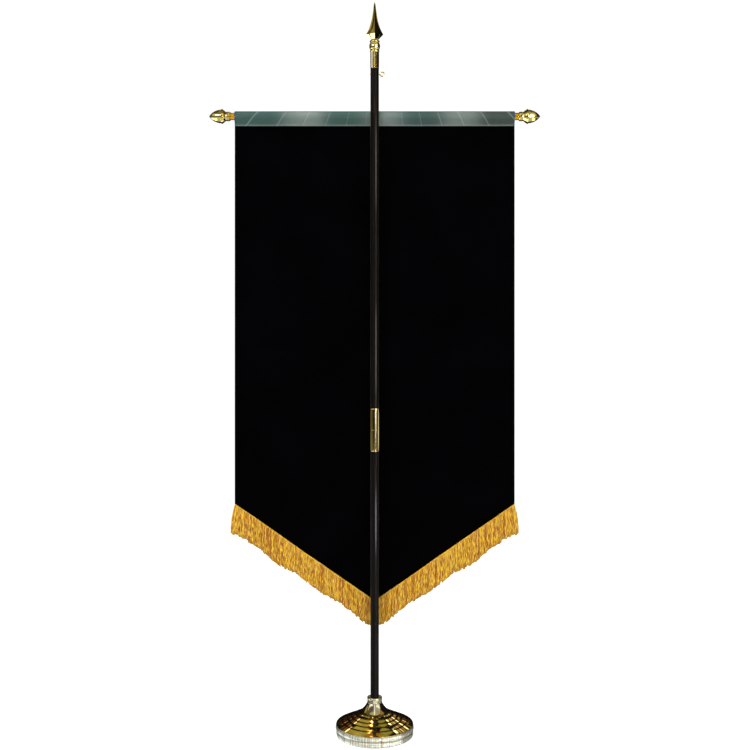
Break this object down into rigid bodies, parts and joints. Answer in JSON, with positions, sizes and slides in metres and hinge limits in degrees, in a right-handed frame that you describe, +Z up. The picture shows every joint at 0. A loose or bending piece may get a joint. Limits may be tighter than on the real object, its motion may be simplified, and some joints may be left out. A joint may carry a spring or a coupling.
{
  "type": "church banner on a floor stand",
  "caption": "Pointed black church banner with a satin heading sleeve and gold bullion fringe, hung from a crossbar on a dark wood pole with a spear finial and a weighted brass base.",
  "frame": {"origin": "on the floor, at the middle of the base, on the pole's axis", "axes": "+Z up along the pole, +X along the crossbar, -Y towards the side on which the pole stands in front of the cloth"},
  "size_m": [1.083, 0.255, 2.3735],
  "materials": {
    "brass": "polished, lacquered",
    "gilt": "bright gilt",
    "nickel": "reeded, satin nickel plate",
    "ebonised_wood": "dark stain under gloss varnish",
    "black_cloth": "matt close weave",
    "heading_satin": "grey-green satin with thin pale lines",
    "bullion": "twisted rayon bullion"
  },
  "bodies": {
    "root": {"base_rim_lower": "nickel", "base_groove_band": "gilt", "base_rim_upper": "nickel", "base_dome": "brass", "base_socket": "brass", "pole_lower": "ebonised_wood", "pole_upper": "ebonised_wood", "joint_ferrule": "brass", "eye_bolt": "brass", "finial_ferrule": "brass", "finial_ball": "brass", "finial_spear": "brass", "crossbar": "gilt", "acorn_right": "brass", "acorn_left": "brass", "heading_sleeve": "heading_satin", "banner_cloth": "black_cloth", "fringe_left": "bullion", "fringe_right": "bullion"}
  },
  "joints": []
}
